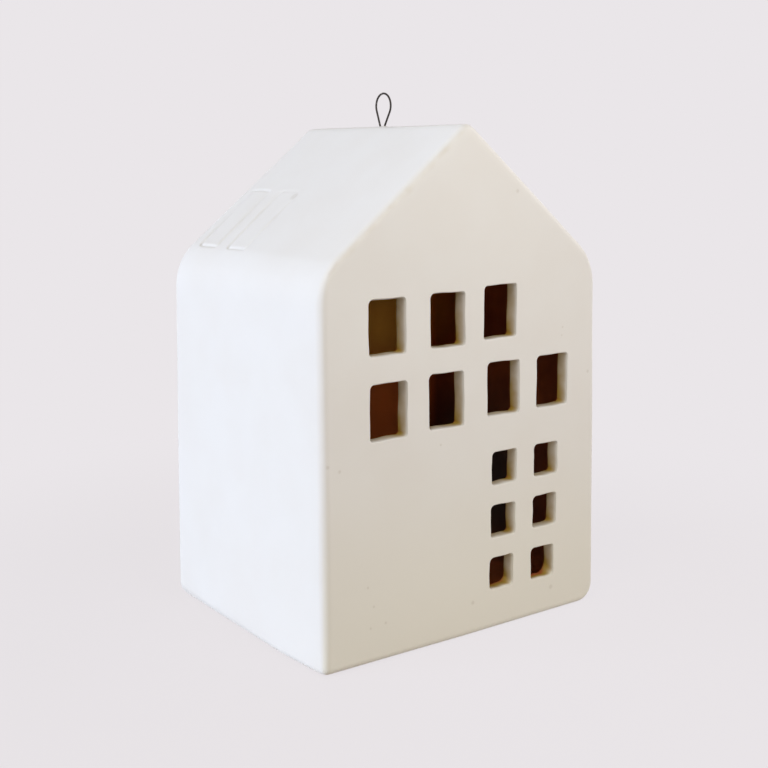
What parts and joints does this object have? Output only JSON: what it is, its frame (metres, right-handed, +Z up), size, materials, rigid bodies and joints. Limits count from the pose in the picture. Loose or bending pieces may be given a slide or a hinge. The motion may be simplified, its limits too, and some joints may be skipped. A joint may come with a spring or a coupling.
{
  "type": "tealight house",
  "caption": "Hollow gabled house for a tealight, glazed ceramic, with cut-out windows in front, an arched doorway behind and a wire hanging loop in the ridge.",
  "frame": {"origin": "middle of the underside, on the surface that the house stands on", "axes": "+Z up, -Y towards the viewer of the windowed front, +X to the right of that viewer"},
  "size_m": [0.0914, 0.072, 0.1376],
  "materials": {
    "white_glaze": "satin white glaze outside, bare brown clay inside and under the foot",
    "loop_wire": "dark oxidised heat-proof wire",
    "cup_aluminium": "thin drawn aluminium, semi-bright",
    "candle_wax": "white paraffin wax, soft sheen",
    "wick_cotton": "waxed braided cotton",
    "sustainer_tinplate": "tinplate"
  },
  "bodies": {
    "house": {"house_shell": "white_glaze", "hanging_loop": "loop_wire"},
    "tealight": {"tealight_cup": "cup_aluminium", "tealight_wax": "candle_wax", "tealight_wick": "wick_cotton", "wick_sustainer": "sustainer_tinplate"}
  },
  "joints": [
    {"name": "tealight_slide", "type": "slide", "parent": "house", "child": "tealight", "axis": [0, 1, 0], "range_m": [0, 0.06]}
  ]
}
